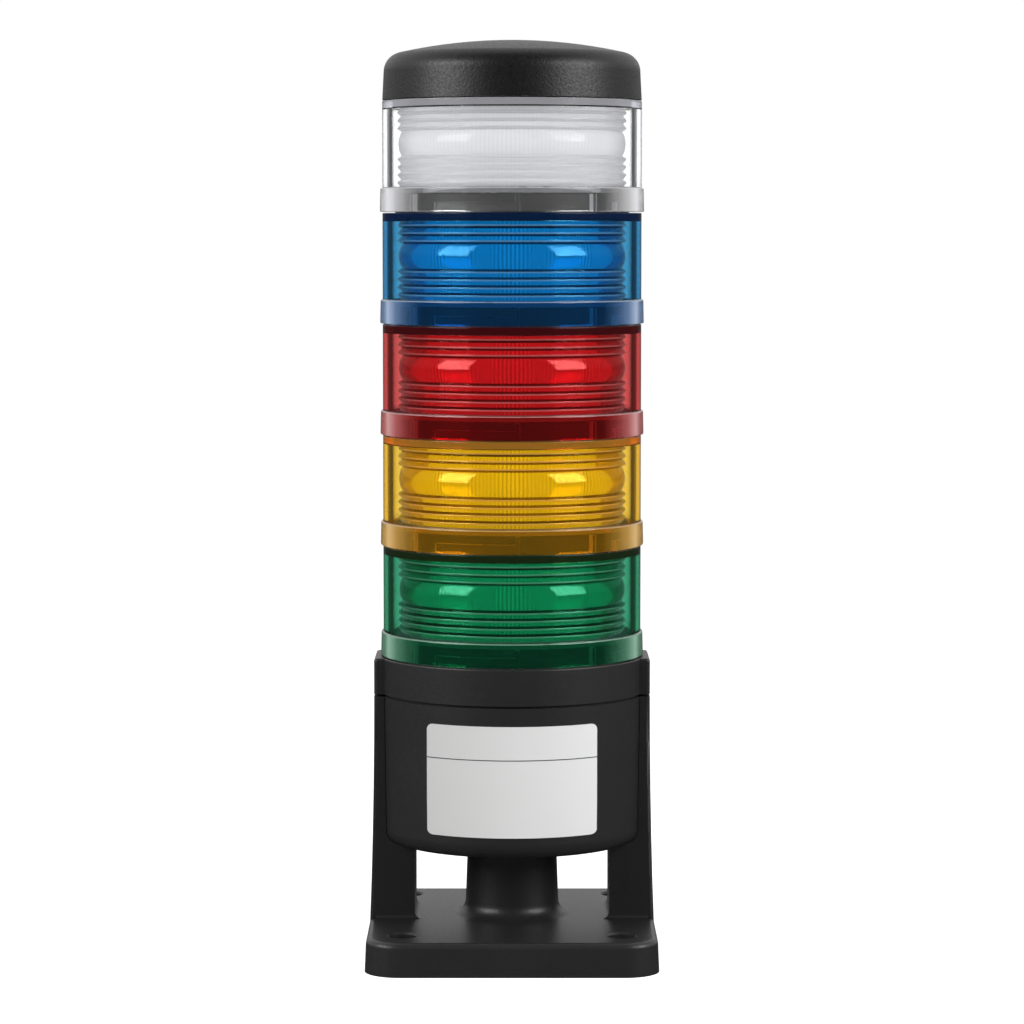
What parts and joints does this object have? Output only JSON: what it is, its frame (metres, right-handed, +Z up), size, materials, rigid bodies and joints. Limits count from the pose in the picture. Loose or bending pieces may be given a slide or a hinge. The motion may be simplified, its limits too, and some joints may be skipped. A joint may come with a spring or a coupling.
{
  "type": "stack light",
  "caption": "Signal tower of stacked coloured bayonet light modules under a domed cap, on a round wiring housing held by a footed stand with a hollow cable post.",
  "frame": {"origin": "on the tower's axis at the underside of the foot, at the lower mouth of the cable bore", "axes": "+Z up along the tower, -Y to the front where the label and the wider side of the foot are, +X to the right"},
  "size_m": [0.078, 0.082, 0.2463],
  "materials": {
    "black_plastic": "moulded black plastic with a fine matte texture",
    "diffuser_white": "milky white moulded plastic",
    "circuit_board": "white solder mask on laminate",
    "contact_brass": "plain brass",
    "seal_rubber": "moulded black rubber",
    "screw_steel": "zinc-plated steel",
    "terminal_plastic": "grey moulded plastic",
    "label_film": "satin silver-white label film, bare",
    "lens_green": "transparent coloured polycarbonate",
    "lens_amber": "transparent coloured polycarbonate",
    "lens_red": "transparent coloured polycarbonate",
    "lens_blue": "transparent coloured polycarbonate",
    "lens_clear": "clear polycarbonate"
  },
  "bodies": {
    "base": {"foot_stand": "black_plastic", "wiring_housing": "black_plastic", "socket_collar": "black_plastic", "housing_gasket": "seal_rubber", "housing_screws": "screw_steel", "collar_screws": "screw_steel", "rating_label": "label_film", "terminal_block": "terminal_plastic", "terminal_screws": "contact_brass", "base_contact_tracks": "contact_brass", "base_seal_ring": "seal_rubber"},
    "green_module": {"green_outer_lens": "lens_green", "green_inner_lens": "lens_green", "green_diffuser": "diffuser_white", "green_led_board": "circuit_board", "green_contact_plate": "black_plastic", "green_contact_pins": "contact_brass", "green_socket_ring": "black_plastic", "green_contact_tracks": "contact_brass", "green_seal_ring": "seal_rubber"},
    "amber_module": {"amber_outer_lens": "lens_amber", "amber_inner_lens": "lens_amber", "amber_diffuser": "diffuser_white", "amber_led_board": "circuit_board", "amber_contact_plate": "black_plastic", "amber_contact_pins": "contact_brass", "amber_socket_ring": "black_plastic", "amber_contact_tracks": "contact_brass", "amber_seal_ring": "seal_rubber"},
    "red_module": {"red_outer_lens": "lens_red", "red_inner_lens": "lens_red", "red_diffuser": "diffuser_white", "red_led_board": "circuit_board", "red_contact_plate": "black_plastic", "red_contact_pins": "contact_brass", "red_socket_ring": "black_plastic", "red_contact_tracks": "contact_brass", "red_seal_ring": "seal_rubber"},
    "blue_module": {"blue_outer_lens": "lens_blue", "blue_inner_lens": "lens_blue", "blue_diffuser": "diffuser_white", "blue_led_board": "circuit_board", "blue_contact_plate": "black_plastic", "blue_contact_pins": "contact_brass", "blue_socket_ring": "black_plastic", "blue_contact_tracks": "contact_brass", "blue_seal_ring": "seal_rubber"},
    "clear_module": {"clear_outer_lens": "lens_clear", "clear_inner_lens": "lens_clear", "clear_diffuser": "diffuser_white", "clear_led_board": "circuit_board", "clear_contact_plate": "black_plastic", "clear_contact_pins": "contact_brass", "clear_socket_ring": "black_plastic", "clear_contact_tracks": "contact_brass", "clear_seal_ring": "seal_rubber"},
    "cap": {"top_cap": "black_plastic"}
  },
  "joints": [
    {"name": "green_module_twist", "type": "hinge", "parent": "base", "child": "green_module", "pos_m": [0, 0, 0.08], "axis": [0, 0, 1], "range_deg": [0, 39]},
    {"name": "amber_module_twist", "type": "hinge", "parent": "green_module", "child": "amber_module", "pos_m": [0, 0, 0.11], "axis": [0, 0, 1], "range_deg": [0, 39]},
    {"name": "red_module_twist", "type": "hinge", "parent": "amber_module", "child": "red_module", "pos_m": [0, 0, 0.14], "axis": [0, 0, 1], "range_deg": [0, 39]},
    {"name": "blue_module_twist", "type": "hinge", "parent": "red_module", "child": "blue_module", "pos_m": [0, 0, 0.17], "axis": [0, 0, 1], "range_deg": [0, 39]},
    {"name": "clear_module_twist", "type": "hinge", "parent": "blue_module", "child": "clear_module", "pos_m": [0, 0, 0.2], "axis": [0, 0, 1], "range_deg": [0, 39]},
    {"name": "cap_twist", "type": "hinge", "parent": "clear_module", "child": "cap", "pos_m": [0, 0, 0.23], "axis": [0, 0, 1], "range_deg": [0, 39]}
  ]
}
